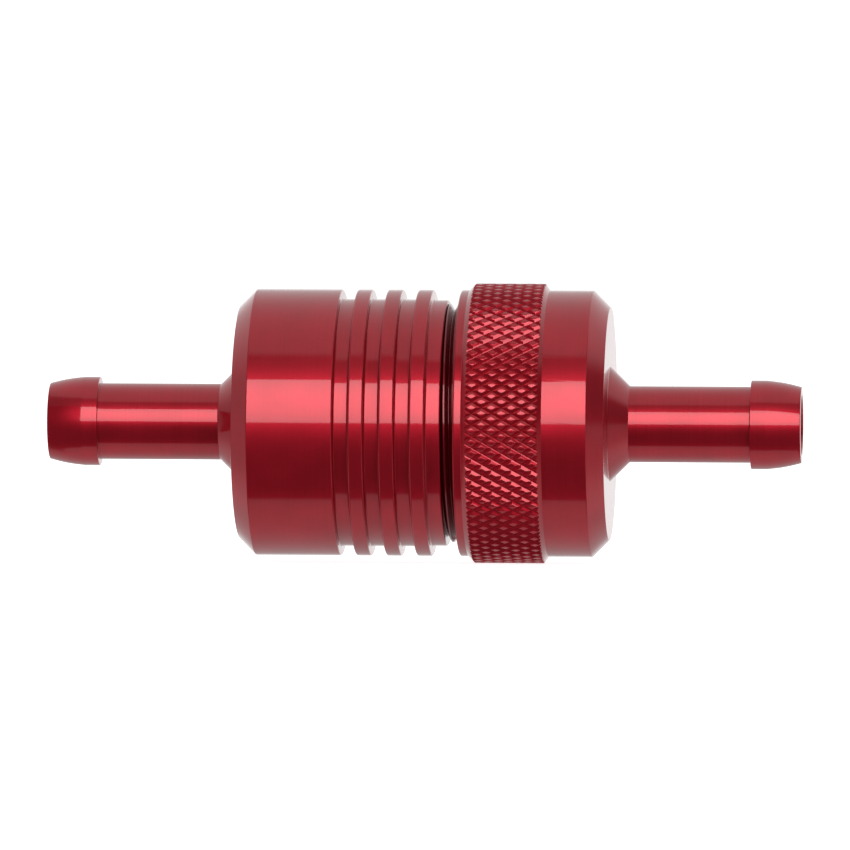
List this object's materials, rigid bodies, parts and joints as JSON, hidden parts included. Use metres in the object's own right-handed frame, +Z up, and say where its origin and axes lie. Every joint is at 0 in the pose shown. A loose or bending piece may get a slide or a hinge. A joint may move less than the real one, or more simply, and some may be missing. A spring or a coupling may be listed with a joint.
{
  "type": "inline fuel filter",
  "caption": "Inline fuel filter: turned metal body whose halves screw together, finned barrel, knurled grip band and a barbed hose tail at each end.",
  "frame": {"origin": "on the flow axis at mid-length, tip to tip", "axes": "+X along the flow axis from the inlet tail to the outlet tail, +Z up with the axis level, +Y completes the right hand"},
  "size_m": [0.0628, 0.0232, 0.0232],
  "materials": {
    "red_anodised": "semi-gloss red anodised",
    "stainless": "satin",
    "woven_stainless": "woven wire",
    "spring_steel": "drawn wire",
    "nitrile": "matt"
  },
  "bodies": {
    "housing": {"inlet_housing": "red_anodised", "spring": "spring_steel"},
    "element": {"element_core": "stainless", "element_mesh": "woven_stainless", "element_end_plate": "stainless", "element_flange": "stainless", "element_gasket": "nitrile"},
    "cap": {"outlet_cap": "red_anodised", "body_o_ring": "nitrile"}
  },
  "joints": [
    {"name": "cap_travel", "type": "slide", "parent": "housing", "child": "element", "axis": [1, 0, 0], "range_m": [-0.001, 0.0045], "deforming": ["spring"]},
    {"name": "cap_turn", "type": "hinge", "parent": "element", "child": "cap", "pos_m": [0, 0, 0], "axis": [1, 0, 0], "range_deg": [-480, 2160]}
  ],
  "couplings": [
    {"joint": "cap_travel", "follows": "cap_turn", "m_per_rad": 0.00011937}
  ]
}
